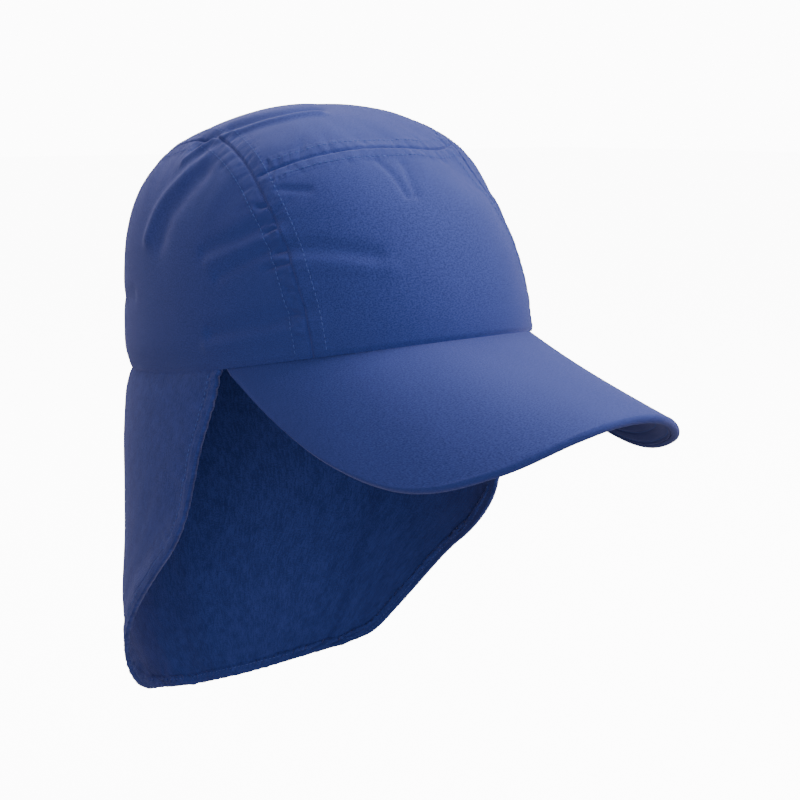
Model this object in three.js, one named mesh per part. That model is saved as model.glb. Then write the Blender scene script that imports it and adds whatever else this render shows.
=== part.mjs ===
// Legionnaire cap: a soft sun cap with a curved peak and one long flap that hangs from its rim.
// Millimetres, +Z up as worn. The front faces -Y and the wearer's left is +X.
// The origin is the centre of the head opening, at the rim.
import * as THREE from 'three';

// Crown, outside of the cloth
const HALF_WIDTH = 76.6;
const FRONT_REACH = 104.6;
const BACK_REACH = 106;
const CROWN_HEIGHT = 106;
const TOP_LEAN = -3;
const RIM_TILT = 9;
const RIM_ARCH = 1.9;
const RIM_TUCK = 2.2;
const PEAK_TUCK = 0.3;
const TUCK_REACH = 7;
// Where the tuck changes from the flap's to the peak's, as the cosine of the turn from the front
const TUCK_START = -0.1;
const TUCK_CHANGE = 0.6;
// How square the crown is in plan at the rim and at the top, and in side and front view
const PLAN_POWER = 2.13;
const PLAN_POWER_RISE = 0.52;
const FRONT_POWER = 1.86;
const SIDE_POWER = 2.48;
const BACK_POWER = 2.82;

// Cloth and seams
const CLOTH = 1.5;
const FLAP_CLOTH = 1.3;
const HEM_FOLD = 0.9;
const SEAM_GAP = 0.3;

// The seam across the crown, as the turn from the front rim over the top, in degrees
const CROSS_TURN = 50.6;
const CROSS_SWEEP = 7.5;

// Peak
const PEAK_LENGTH = 83.2;
const PEAK_END = 70.4;
const PEAK_BOARD = 2.2;
const LINING = 0.9;
const EDGE_WRAP = 3;

// Neck flap
const FLAP_DROP = 166;
const FLAP_END = 72.6;
const HEM_WIDTH = 5;

// Half widths of the centre strip between the two side seams, as shares of HALF_WIDTH
const SEAM_ROWS = [
  { turn: 0, right: 0.73, left: 0.71 },
  { turn: 25, right: 0.74, left: 0.62 },
  { turn: 50, right: 0.73, left: 0.53 },
  { turn: 70, right: 0.68, left: 0.52 },
  { turn: 90, right: 0.605, left: 0.53 },
  { turn: 120, right: 0.55, left: 0.53 },
  { turn: 150, right: 0.49, left: 0.49 },
  { turn: 180, right: 0.45, left: 0.45 },
];

// Soft swells and dents of the crown: where they lie, seen from its centre in degrees
// (azimuth from the front towards the wearer's left), and their push as a share of CROWN_HEIGHT
const SWELL_ROWS = [
  { azimuth: 24, elevation: 44, wide: 17, high: 13, push: -0.029 },
  { azimuth: 60, elevation: 48, wide: 26, high: 14, push: 0.04 },
  { azimuth: -128, elevation: 22, wide: 40, high: 16, push: -0.021 },
  { azimuth: -128, elevation: 50, wide: 40, high: 16, push: 0.008 },
];

// Peak: along is the share of the way from its middle to its end, reach a share of PEAK_LENGTH,
// and droop and splay the angles of the board there, in degrees
const PEAK_ROWS = [
  { along: 0, reach: 1, droop: 21.1, splay: 0 },
  { along: 0.25, reach: 1.027, droop: 22.6, splay: -1.4 },
  { along: 0.5, reach: 1.022, droop: 29.5, splay: 0.6 },
  { along: 0.7, reach: 0.899, droop: 37.8, splay: 2.7 },
  { along: 0.85, reach: 0.626, droop: 42.5, splay: 3.9 },
  { along: 0.95, reach: 0.292, droop: 44.7, splay: 3.8 },
  { along: 1, reach: 0.05, droop: 44.6, splay: 2.8 },
];

// Flap: depth is the share of the way down, side and back the reach of the section there as shares
// of the crown's, and right and left the angles from the front at which its two front edges lie
const FLAP_ROWS = [
  { depth: 0, side: 1, back: 1, right: 0, left: 0 },
  { depth: 0.2, side: 1.027, back: 1.012, right: 5.1, left: 0 },
  { depth: 0.45, side: 1.038, back: 1.007, right: 13.5, left: 0.5 },
  { depth: 0.7, side: 1.083, back: 1.015, right: 35, left: 25 },
  { depth: 0.88, side: 1.075, back: 0.976, right: 53, left: 41.5 },
  { depth: 0.96, side: 1.045, back: 0.94, right: 61.5, left: 50 },
  { depth: 1, side: 1.018, back: 0.92, right: 70, left: 60 },
];
// How much the hem rises at its right corner and left corner and sinks in the middle, of FLAP_DROP
const HEM_RISE = { right: 0.052, left: 0.038, middle: -0.023 };

// Grid steps
const FRONT_STEPS = 12;
const TOP_STEPS = 22;
const STRIP_STEPS = 14;
const CORNER_STEPS = 8;
const PEAK_STEPS = 36;
const PEAK_OUT_STEPS = 7;
const FLAP_STEPS = 48;
const FLAP_DOWN_STEPS = 11;

const CLOTH_BLUE = 0x2b4a8c;
const LINING_BLUE = 0x223f7c;

const radians = THREE.MathUtils.degToRad;
const lerp = THREE.MathUtils.lerp;

// A smooth curve through one column of a table, level at its first row
function follow(rows, key, column, at) {
  let i = 0;
  while (i < rows.length - 2 && at > rows[i + 1][key]) i += 1;
  const slope = (a, b) => (rows[b][column] - rows[a][column]) / (rows[b][key] - rows[a][key]);
  const step = rows[i + 1][key] - rows[i][key];
  const start = i > 0 ? slope(i - 1, i + 1) * step : 0;
  const end = slope(i, Math.min(i + 2, rows.length - 1)) * step;
  const t = THREE.MathUtils.clamp((at - rows[i][key]) / step, 0, 1);
  const ease = t * t * (3 - 2 * t);
  return lerp(rows[i][column], rows[i + 1][column], ease)
    + t * (1 - t) * (1 - t) * start - t * t * (1 - t) * end;
}

const signedPower = (value, power) => Math.sign(value) * Math.abs(value) ** power;

// The crown's radius along a unit direction (x to the wearer's left, f forward, z up)
function baseRadius(x, f, z) {
  const plan = PLAN_POWER + PLAN_POWER_RISE * z * z;
  const reach = f >= 0 ? FRONT_REACH : BACK_REACH;
  const across = ((Math.abs(f) / reach) ** plan + (Math.abs(x) / HALF_WIDTH) ** plan) ** (1 / plan);
  const along = f * f / (f * f + x * x + 1e-9);
  const profile = lerp(SIDE_POWER, f >= 0 ? FRONT_POWER : BACK_POWER, along);
  return (across ** profile + (Math.abs(z) / CROWN_HEIGHT) ** profile) ** (-1 / profile);
}

// How far the swells and dents push the crown's surface out
function swell(x, f, z) {
  const azimuth = THREE.MathUtils.radToDeg(Math.atan2(x, f));
  const elevation = THREE.MathUtils.radToDeg(Math.asin(z));
  let push = 0;
  for (const row of SWELL_ROWS) {
    const turn = (((azimuth - row.azimuth + 540) % 360) - 180) / row.wide;
    const rise = (elevation - row.elevation) / row.high;
    push += row.push * CROWN_HEIGHT * Math.exp(-turn * turn - rise * rise);
  }
  return push;
}

// The rim is drawn in at the seam that joins the crown to the flap, and less so over the peak
function rimTuck(azimuth) {
  const overPeak = THREE.MathUtils.smoothstep(Math.cos(azimuth), TUCK_START, TUCK_START + TUCK_CHANGE);
  return lerp(RIM_TUCK, PEAK_TUCK, overPeak);
}
const tuck = (azimuth, distance) => rimTuck(azimuth) * Math.exp(-((distance / TUCK_REACH) ** 2));

// The rim rises a little at the front and back
const rimRise = (azimuth) => RIM_ARCH * Math.cos(2 * azimuth);

// A point of the crown's outer surface along a direction, in the crown's own frame
function crownPoint(direction) {
  const { x, y, z } = direction;
  const f = -y;
  const bare = baseRadius(x, f, z);
  const radius = bare + swell(x, f, z) - tuck(Math.atan2(x, f), bare * z);
  const height = radius * z;
  const point = new THREE.Vector3(radius * x, radius * y, height);
  point.y += TOP_LEAN * (Math.max(height, 0) / CROWN_HEIGHT) ** 1.5;
  point.z += rimRise(Math.atan2(x, f)) * Math.exp(-height / (CROWN_HEIGHT / 4));
  return point;
}

// The direction from the crown's centre to its surface at a distance x from the middle plane,
// after a turn from the front rim over the top
function stripDirection(x, turn) {
  const forward = Math.cos(radians(turn));
  const up = Math.sin(radians(turn));
  let near = 0;
  let far = 2 * BACK_REACH;
  for (let step = 0; step < 40; step += 1) {
    const middle = (near + far) / 2;
    const length = Math.hypot(x, middle);
    const outside = length > baseRadius(x / length, middle * forward / length, middle * up / length);
    if (outside) far = middle;
    else near = middle;
  }
  return new THREE.Vector3(x, -near * forward, near * up).normalize();
}

// The half width of the centre strip, less or more the seam's gap
const seamOffset = (side, turn) => HALF_WIDTH * follow(SEAM_ROWS, 'turn', side, turn);

// The turn of the seam across the crown, by the share of the way from the middle to a side seam
const crossTurn = (share) => CROSS_TURN + CROSS_SWEEP * Math.abs(share) ** 3;
const crossGap = THREE.MathUtils.radToDeg(SEAM_GAP / 2 / CROWN_HEIGHT);

// The direction into the crown, square to its surface
function crownInward(direction) {
  const nudge = 1e-3;
  const side = new THREE.Vector3(0, -direction.z, direction.y + 0.01).cross(direction).normalize();
  const over = direction.clone().cross(side);
  const step = (way) => {
    const ahead = crownPoint(direction.clone().addScaledVector(way, nudge).normalize());
    return ahead.sub(crownPoint(direction.clone().addScaledVector(way, -nudge).normalize()));
  };
  const normal = step(side).cross(step(over)).normalize();
  return normal.multiplyScalar(-Math.sign(normal.dot(direction)));
}

// A closed sheet: an outer surface of two shares from 0 to 1, and the same surface one wall further in
function sheetMesh(name, { surface, inward, wall }, across, down, color) {
  const positions = [];
  const index = [];
  for (const layer of [0, 1]) {
    for (const v of down) {
      for (const u of across) {
        const point = surface(u, v);
        if (layer) point.addScaledVector(inward(u, v), wall(u, v));
        positions.push(...point.toArray());
      }
    }
  }
  const wide = across.length;
  const high = down.length;
  const at = (layer, i, j) => layer * wide * high + j * wide + i;
  const quad = (a, b, c, d) => index.push(a, b, c, a, c, d);
  for (let j = 0; j < high - 1; j += 1) {
    for (let i = 0; i < wide - 1; i += 1) {
      quad(at(0, i, j), at(0, i, j + 1), at(0, i + 1, j + 1), at(0, i + 1, j));
      quad(at(1, i, j), at(1, i + 1, j), at(1, i + 1, j + 1), at(1, i, j + 1));
    }
  }
  for (let i = 0; i < wide - 1; i += 1) {
    quad(at(0, i, 0), at(0, i + 1, 0), at(1, i + 1, 0), at(1, i, 0));
    quad(at(0, i + 1, high - 1), at(0, i, high - 1), at(1, i, high - 1), at(1, i + 1, high - 1));
  }
  for (let j = 0; j < high - 1; j += 1) {
    quad(at(0, 0, j + 1), at(0, 0, j), at(1, 0, j), at(1, 0, j + 1));
    quad(at(0, wide - 1, j), at(0, wide - 1, j + 1), at(1, wide - 1, j + 1), at(1, wide - 1, j));
  }
  return solidMesh(name, positions, index, color);
}

function solidMesh(name, positions, index, color) {
  const geometry = new THREE.BufferGeometry();
  geometry.setAttribute('position', new THREE.Float32BufferAttribute(positions, 3));
  geometry.setIndex(index);
  geometry.computeVertexNormals();
  const material = new THREE.MeshStandardMaterial({ color, roughness: 0.85, metalness: 0 });
  const mesh = new THREE.Mesh(geometry, material);
  mesh.name = name;
  return mesh;
}

const evenShares = (steps) => Array.from({ length: steps + 1 }, (_, i) => i / steps);

// A crown panel, from the direction of each of its points
function panelMesh(name, direction, across, down) {
  const cloth = {
    surface: (u, v) => crownPoint(direction(u, v)),
    inward: (u, v) => crownInward(direction(u, v)),
    wall: () => CLOTH,
  };
  return sheetMesh(name, cloth, evenShares(across), evenShares(down), CLOTH_BLUE);
}

// The centre strip at a share across it, from the right seam to the left, and a turn
function acrossStrip(share, turn) {
  const right = -seamOffset('right', turn) + SEAM_GAP / 2;
  const left = seamOffset('left', turn) - SEAM_GAP / 2;
  return stripDirection(lerp(right, left, share), turn);
}

function frontPanel() {
  const direction = (u, v) => acrossStrip(u, (1 - v) * (crossTurn(2 * u - 1) - crossGap));
  return panelMesh('front_panel', direction, STRIP_STEPS, FRONT_STEPS);
}

function topPanel() {
  const direction = (u, v) => acrossStrip(u, lerp(180, crossTurn(2 * u - 1) + crossGap, v));
  return panelMesh('top_panel', direction, STRIP_STEPS, TOP_STEPS);
}

// A side panel is blended from its four edges: the rim below, and the side seam, which runs up
// the front, over the top and down the back
function sidePanel(name, side, sign) {
  const seamTurn = (share) => {
    const frontShare = FRONT_STEPS / (FRONT_STEPS + TOP_STEPS);
    if (share < frontShare) return share / frontShare * crossTurn(1);
    return lerp(crossTurn(1), 180, (share - frontShare) / (1 - frontShare));
  };
  const seam = (share) => {
    const turn = seamTurn(share);
    return stripDirection(sign * (seamOffset(side, turn) + SEAM_GAP / 2), turn);
  };
  const corner = CORNER_STEPS / (FRONT_STEPS + TOP_STEPS);
  const azimuth = (direction) => Math.atan2(sign * direction.x, -direction.y);
  const frontFoot = azimuth(seam(0));
  const backFoot = azimuth(seam(1));
  const rim = (u) => {
    const angle = lerp(frontFoot, backFoot, u);
    return new THREE.Vector3(sign * Math.sin(angle), -Math.cos(angle), 0);
  };
  const direction = (u, v) => {
    const blend = new THREE.Vector3();
    blend.addScaledVector(rim(u), 1 - v).addScaledVector(seam(lerp(corner, 1 - corner, u)), v);
    blend.addScaledVector(seam(corner * v), 1 - u).addScaledVector(seam(1 - corner * v), u);
    blend.addScaledVector(rim(0), -(1 - u) * (1 - v)).addScaledVector(rim(1), -u * (1 - v));
    blend.addScaledVector(seam(corner), -(1 - u) * v).addScaledVector(seam(1 - corner), -u * v);
    return blend.normalize();
  };
  const across = FRONT_STEPS + TOP_STEPS - 2 * CORNER_STEPS;
  return panelMesh(name, (u, v) => direction(sign > 0 ? u : 1 - u, 1 - v), across, CORNER_STEPS);
}

// A point of the rim inside its cloth, by its angle from the front towards the wearer's left
function rimPoint(angle) {
  const reach = Math.cos(angle) >= 0 ? FRONT_REACH : BACK_REACH;
  const x = HALF_WIDTH * signedPower(Math.sin(angle), 2 / PLAN_POWER);
  const y = -reach * signedPower(Math.cos(angle), 2 / PLAN_POWER);
  const point = new THREE.Vector3(x, y, 0);
  const azimuth = Math.atan2(x, -y);
  point.setLength(point.length() - rimTuck(azimuth) - CLOTH);
  point.z = rimRise(azimuth) - SEAM_GAP;
  return point;
}

// The peak's top face at a share along it, from its right end to its left, and a length out from the rim
function peakFrame(share) {
  const along = 2 * share - 1;
  const row = (column) => follow(PEAK_ROWS, 'along', column, Math.abs(along));
  const droop = radians(row('droop'));
  const splay = radians(row('splay')) * Math.sign(along);
  const out = new THREE.Vector3(Math.sin(splay) * Math.cos(droop), -Math.cos(splay) * Math.cos(droop), -Math.sin(droop));
  return { root: rimPoint(radians(PEAK_END) * along), out, reach: PEAK_LENGTH * row('reach') };
}

// A solid swept along the peak: one closed section of points, each a length out and a depth, per station
function peakSweep(name, section, color) {
  const nudge = 1e-3;
  const shares = evenShares(PEAK_STEPS);
  const positions = [];
  const index = [];
  for (const share of shares) {
    const { root, out, reach } = peakFrame(share);
    const before = peakFrame(Math.max(share - nudge, 0)).root;
    const beyond = peakFrame(Math.min(share + nudge, 1)).root;
    const down = beyond.sub(before).cross(out).normalize();
    for (const [length, depth] of section(reach)) {
      positions.push(...root.clone().addScaledVector(out, length).addScaledVector(down, depth).toArray());
    }
  }
  const count = section(PEAK_LENGTH).length;
  for (let j = 0; j < shares.length - 1; j += 1) {
    for (let i = 0; i < count; i += 1) {
      const a = j * count + i;
      const b = j * count + (i + 1) % count;
      index.push(a, b, b + count, a, b + count, a + count);
    }
  }
  const flat = section(PEAK_LENGTH).map(([length, depth]) => new THREE.Vector2(length, depth));
  const last = (shares.length - 1) * count;
  for (const [a, b, c] of THREE.ShapeUtils.triangulateShape(flat, [])) {
    index.push(a, c, b, last + a, last + b, last + c);
  }
  return solidMesh(name, positions, index, color);
}

// Lengths out from the rim, shorter at the peak's ends than any of its steps
const outSteps = (reach) => evenShares(PEAK_OUT_STEPS).map((share) => share * reach);

function peakCover() {
  const thick = PEAK_BOARD + LINING + SEAM_GAP;
  return peakSweep('peak_cover', (reach) => {
    const edge = CLOTH + reach;
    const wrap = Math.min(EDGE_WRAP, reach / 3);
    const inner = edge - wrap;
    const top = outSteps(edge - thick / 2).map((length) => [length, 0]);
    const board = outSteps(inner).reverse().map((length) => [length, PEAK_BOARD]);
    const rounded = [[edge - thick / 8, thick / 6], [edge, thick / 2], [edge - thick / 8, thick * 5 / 6]];
    return [...top, ...rounded, [edge - thick / 2, thick], [inner, thick], ...board];
  }, CLOTH_BLUE);
}

function peakLining() {
  const top = PEAK_BOARD + SEAM_GAP;
  return peakSweep('peak_lining', (reach) => {
    const edge = CLOTH + reach - Math.min(EDGE_WRAP, reach / 3) - SEAM_GAP;
    const upper = outSteps(edge).map((length) => [length, top]);
    const lower = outSteps(edge).reverse().map((length) => [length, top + LINING]);
    return [...upper, ...lower];
  }, LINING_BLUE);
}

// The flap hangs straight down from the tilted rim, so its sections stay in the rim's plane as they sink
function flapPoint(share, depth) {
  const row = (column) => follow(FLAP_ROWS, 'depth', column, depth);
  const right = -(FLAP_END + row('right'));
  const left = FLAP_END + row('left') - 360;
  const angle = radians(lerp(left, right, share));
  const x = HALF_WIDTH * row('side') * signedPower(Math.sin(angle), 2 / PLAN_POWER);
  const reach = Math.cos(angle) >= 0 ? FRONT_REACH : BACK_REACH;
  const y = -reach * row('back') * signedPower(Math.cos(angle), 2 / PLAN_POWER);
  const azimuth = Math.atan2(x, -y);
  const point = new THREE.Vector3(x, y, 0);
  point.setLength(point.length() - tuck(azimuth, depth * FLAP_DROP));
  point.z = (rimRise(azimuth) - SEAM_GAP) * (1 - depth);
  point.applyAxisAngle(new THREE.Vector3(1, 0, 0), -radians(RIM_TILT));
  const rise = HEM_RISE.left * (1 - share) ** 4 + HEM_RISE.right * share ** 4
    + HEM_RISE.middle * (4 * share * (1 - share)) ** 2;
  point.z -= FLAP_DROP * (1 - rise) * depth;
  return point;
}

function neckFlap() {
  const length = Math.PI * (HALF_WIDTH + BACK_REACH) / 2;
  const hemAcross = HEM_WIDTH / length;
  const hemDown = HEM_WIDTH / FLAP_DROP;
  const ramp = 0.15;
  const withHem = (steps, hem, both) => {
    const first = both ? hem * (1 + ramp) : 0;
    const inner = evenShares(steps).map((share) => lerp(first, 1 - hem * (1 + ramp), share));
    return both ? [0, hem, ...inner, 1 - hem, 1] : [...inner, 1 - hem, 1];
  };
  const inHem = (u, v) => Math.min(u, 1 - u) < hemAcross * (1 + ramp / 2) || 1 - v < hemDown * (1 + ramp / 2);
  const nudge = 1e-4;
  const clamp = (share) => THREE.MathUtils.clamp(share, 0, 1);
  const cloth = {
    surface: flapPoint,
    inward: (u, v) => {
      const alongU = flapPoint(clamp(u + nudge), v).sub(flapPoint(clamp(u - nudge), v));
      const alongV = flapPoint(u, clamp(v + nudge)).sub(flapPoint(u, clamp(v - nudge)));
      return alongU.cross(alongV).normalize();
    },
    wall: (u, v) => FLAP_CLOTH + (inHem(u, v) ? HEM_FOLD : 0),
  };
  const across = withHem(FLAP_STEPS, hemAcross, true);
  return sheetMesh('neck_flap', cloth, across, withHem(FLAP_DOWN_STEPS, hemDown, false), CLOTH_BLUE);
}

const crown = new THREE.Group();
crown.add(frontPanel(), topPanel(), sidePanel('side_panel_right', 'right', -1), sidePanel('side_panel_left', 'left', 1));
crown.add(peakCover(), peakLining());
crown.rotation.x = -radians(RIM_TILT);

const cap = new THREE.Group();
cap.add(crown, neckFlap());

export default cap;
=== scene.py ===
# Legionnaire cap in blue cloth: stitched crown, curved peak and a hanging neck flap
import math

import bmesh
import bpy
import numpy as np
from mathutils import Matrix, Vector


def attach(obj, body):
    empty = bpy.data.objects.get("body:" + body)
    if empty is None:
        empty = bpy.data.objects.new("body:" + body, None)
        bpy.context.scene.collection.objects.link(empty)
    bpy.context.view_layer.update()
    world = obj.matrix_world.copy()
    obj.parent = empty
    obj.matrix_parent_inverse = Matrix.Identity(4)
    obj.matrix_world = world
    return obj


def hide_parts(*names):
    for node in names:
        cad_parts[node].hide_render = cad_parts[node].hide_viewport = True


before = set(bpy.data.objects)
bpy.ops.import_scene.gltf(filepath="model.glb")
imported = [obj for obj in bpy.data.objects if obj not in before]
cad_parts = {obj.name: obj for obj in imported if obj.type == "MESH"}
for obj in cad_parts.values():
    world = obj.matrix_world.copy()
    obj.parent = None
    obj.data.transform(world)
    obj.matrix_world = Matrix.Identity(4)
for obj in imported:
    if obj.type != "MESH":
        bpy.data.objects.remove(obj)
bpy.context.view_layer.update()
millimetre = 0.001

# sizes shared with the fixed frame, in metres and degrees
crown = {
    "halfWidth": 0.0766,
    "frontReach": 0.1046,
    "backReach": 0.106,
    "height": 0.106,
    "topLean": -0.003,
    "leanPower": 1.5,
    "rimTilt": 9,
    "rimArch": 0.0019,
    "archFade": 0.25,
    "rimTuck": 0.0022,
    "peakTuck": 0.0003,
    "tuckReach": 0.007,
    "tuckStart": -0.1,
    "tuckChange": 0.6,
    "planPower": 2.13,
    "planPowerRise": 0.52,
    "frontPower": 1.86,
    "sidePower": 2.48,
    "backPower": 2.82,
    "cloth": 0.0015,
    "seamGap": 0.0003,
    "crispAngle": 60,
    "crossTurn": 50.6,
    "crossSweep": 7.5,
}
# half widths of the centre strip, by the turn from the front rim over the top
seamRows = [
    {"turn": 0, "right": 0.73, "left": 0.71},
    {"turn": 25, "right": 0.74, "left": 0.62},
    {"turn": 50, "right": 0.73, "left": 0.53},
    {"turn": 70, "right": 0.68, "left": 0.52},
    {"turn": 90, "right": 0.605, "left": 0.53},
    {"turn": 120, "right": 0.55, "left": 0.53},
    {"turn": 150, "right": 0.49, "left": 0.49},
    {"turn": 180, "right": 0.45, "left": 0.45},
]
# broad swells and dents, seen from the crown's centre, with push as a share of its height
swellRows = [
    {"azimuth": 24, "elevation": 44, "wide": 17, "high": 13, "push": -0.029},
    {"azimuth": 60, "elevation": 48, "wide": 26, "high": 14, "push": 0.04},
    {"azimuth": -128, "elevation": 22, "wide": 40, "high": 16, "push": -0.021},
    {"azimuth": -128, "elevation": 50, "wide": 40, "high": 16, "push": 0.008},
]


def follow(rows, key, column, at):
    # smooth curve through one column of a table, level at its first row
    knots = np.array([row[key] for row in rows], float)
    values = np.array([row[column] for row in rows], float)
    at = np.asarray(at, float)
    i = np.clip(np.searchsorted(knots, at, side="left") - 1, 0, len(knots) - 2)
    step = knots[i + 1] - knots[i]
    before = np.maximum(i - 1, 0)
    beyond = np.minimum(i + 2, len(knots) - 1)
    start = np.where(i > 0, (values[i + 1] - values[before]) / (knots[i + 1] - knots[before]) * step, 0)
    end = (values[beyond] - values[i]) / (knots[beyond] - knots[i]) * step
    t = np.clip((at - knots[i]) / step, 0, 1)
    ease = t * t * (3 - 2 * t)
    return values[i] + (values[i + 1] - values[i]) * ease + t * (1 - t) ** 2 * start - t * t * (1 - t) * end


def unit(vectors):
    return vectors / np.linalg.norm(vectors, axis=-1, keepdims=True)


def smooth(share):
    share = np.clip(share, 0, 1)
    return share * share * (3 - 2 * share)


def bell(distance, width):
    return np.exp(-((distance / width) ** 2))


def ripple(along, spacing, seed):
    # smooth random wave between -1 and 1 along a line, the same on every run
    count, start = 4096, 512
    values = np.random.default_rng(seed).uniform(-1, 1, count)
    place = np.asarray(along) / spacing + start
    i = np.floor(place).astype(int)
    t = smooth(place - i)
    return values[i % count] * (1 - t) + values[(i + 1) % count] * t


def tilted(points):
    # from the crown's own frame to the worn one, front of the rim up
    angle = math.radians(crown["rimTilt"])
    cos, sin = math.cos(angle), math.sin(angle)
    x, y, z = points[..., 0], points[..., 1], points[..., 2]
    return np.stack([x, y * cos + z * sin, z * cos - y * sin], -1)


def baseRadius(x, f, z):
    # how far the plain form reaches in a direction, f to the front
    plan = crown["planPower"] + crown["planPowerRise"] * z * z
    reach = np.where(f >= 0, crown["frontReach"], crown["backReach"])
    across = ((np.abs(f) / reach) ** plan + (np.abs(x) / crown["halfWidth"]) ** plan) ** (1 / plan)
    along = f * f / (f * f + x * x + 1e-9)
    ends = np.where(f >= 0, crown["frontPower"], crown["backPower"])
    profile = crown["sidePower"] + (ends - crown["sidePower"]) * along
    return (across**profile + (np.abs(z) / crown["height"]) ** profile) ** (-1 / profile)


def swell(x, f, z):
    azimuth = np.degrees(np.arctan2(x, f))
    elevation = np.degrees(np.arcsin(np.clip(z, -1, 1)))
    push = np.zeros_like(x)
    for row in swellRows:
        turn = ((azimuth - row["azimuth"] + 540) % 360 - 180) / row["wide"]
        rise = (elevation - row["elevation"]) / row["high"]
        push += row["push"] * crown["height"] * np.exp(-turn * turn - rise * rise)
    return push


def rimTuck(azimuth):
    # the rim is drawn in at the flap's seam, and less so over the peak
    overPeak = smooth((np.cos(azimuth) - crown["tuckStart"]) / crown["tuckChange"])
    return crown["rimTuck"] + (crown["peakTuck"] - crown["rimTuck"]) * overPeak


def tuck(azimuth, distance):
    return rimTuck(azimuth) * bell(distance, crown["tuckReach"])


def rimRise(azimuth):
    return crown["rimArch"] * np.cos(2 * azimuth)


def crownPoints(directions):
    x, y, z = directions[..., 0], directions[..., 1], directions[..., 2]
    f = -y
    bare = baseRadius(x, f, z)
    radius = bare + swell(x, f, z) - tuck(np.arctan2(x, f), bare * z)
    points = directions * radius[..., None]
    height = points[..., 2].copy()
    points[..., 1] += crown["topLean"] * (np.maximum(height, 0) / crown["height"]) ** crown["leanPower"]
    points[..., 2] += rimRise(np.arctan2(x, f)) * np.exp(-height / (crown["height"] * crown["archFade"]))
    return points


def crownNormals(directions):
    nudge = 1e-3
    flat = np.stack([np.zeros(len(directions)), -directions[:, 2], directions[:, 1] + 0.01], -1)
    side = unit(np.cross(flat, directions))
    over = np.cross(directions, side)
    steps = [
        crownPoints(unit(directions + way * nudge)) - crownPoints(unit(directions - way * nudge))
        for way in (side, over)
    ]
    normals = unit(np.cross(steps[0], steps[1]))
    return normals * np.sign(np.sum(normals * directions, -1, keepdims=True))


def stripDirections(x, turn):
    # the direction to the surface at a distance x from the middle, after a turn over the top
    halvings = 34
    x, turn = np.broadcast_arrays(np.asarray(x, float), np.radians(turn))
    near = np.zeros_like(x)
    far = np.full_like(x, 2 * crown["backReach"])
    for _ in range(halvings):
        middle = (near + far) / 2
        length = np.hypot(x, middle)
        front, up = middle * np.cos(turn) / length, middle * np.sin(turn) / length
        outside = length > baseRadius(x / length, front, up)
        far = np.where(outside, middle, far)
        near = np.where(outside, near, middle)
    return unit(np.stack([x, -near * np.cos(turn), near * np.sin(turn)], -1))


def seamOffset(side, turn):
    return crown["halfWidth"] * follow(seamRows, "turn", side, turn)


def crossTurn(share):
    return crown["crossTurn"] + crown["crossSweep"] * np.abs(share) ** 3


def lineLengths(line):
    return np.concatenate([[0], np.cumsum(np.linalg.norm(np.diff(line, axis=0), axis=1))])


def nearestOn(points, line):
    # distance from each point to a line, the length along the line to there, and the way across to it
    batch = 4000
    lengths = lineLengths(line)
    tangents = unit(np.gradient(line, axis=0))
    distance = np.empty(len(points))
    along = np.empty(len(points))
    across = np.empty((len(points), 3))
    for first in range(0, len(points), batch):
        rows = slice(first, first + batch)
        part = points[rows]
        gaps = ((part[:, None, :] - line[None, :, :]) ** 2).sum(-1)
        best = gaps.argmin(1)
        off = part - line[best]
        slide = np.clip((off * tangents[best]).sum(1), -millimetre, millimetre)
        distance[rows] = np.linalg.norm(off - tangents[best] * slide[:, None], axis=1)
        along[rows] = lengths[best] + slide
        across[rows] = off
    return distance, along, across


# seams: a double row of topstitches holds the turned edges down on both sides of each
seams = {
    "valleyDepth": 0.0008,
    "valleyWidth": 0.0006,
    "bandWidth": 0.0064,
    "crossBand": 0.0055,
    "bandEdge": 0.0016,
    "crossEnd": 0.004,
    "bandRise": 0.00025,
    "stitchDip": 0.0003,
    "stitchDipWidth": 0.0005,
    "holeShare": 0.45,
    "puckerDepth": 0.0013,
    "puckerSpacing": 0.0042,
    "stitchPitch": 0.0023,
    "fineRise": 0.00012,
    "fineSpacing": 0.0016,
    "fineFrom": 0.004,
    "fineOver": 0.006,
    "pullRise": 0.0006,
    "pullSpacing": 0.01,
    "pullStart": 0.006,
    "pullFrom": 0.008,
    "pullOver": 0.03,
    "pullSlant": 0.25,
    "rimGroove": 0.0007,
    "rimGrooveWidth": 0.0012,
    "foldStrength": 1.3,
}
turns = np.linspace(0, 180, 900)
seamLines = {
    "right": crownPoints(stripDirections(-seamOffset("right", turns), turns)),
    "left": crownPoints(stripDirections(seamOffset("left", turns), turns)),
}
crossShares = np.linspace(-1, 1, 400)


def crossX(share):
    turn = crossTurn(share)
    half = np.where(share < 0, seamOffset("right", turn), seamOffset("left", turn))
    return half * share


seamLines["cross"] = crownPoints(stripDirections(crossX(crossShares), crossTurn(crossShares)))

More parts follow.
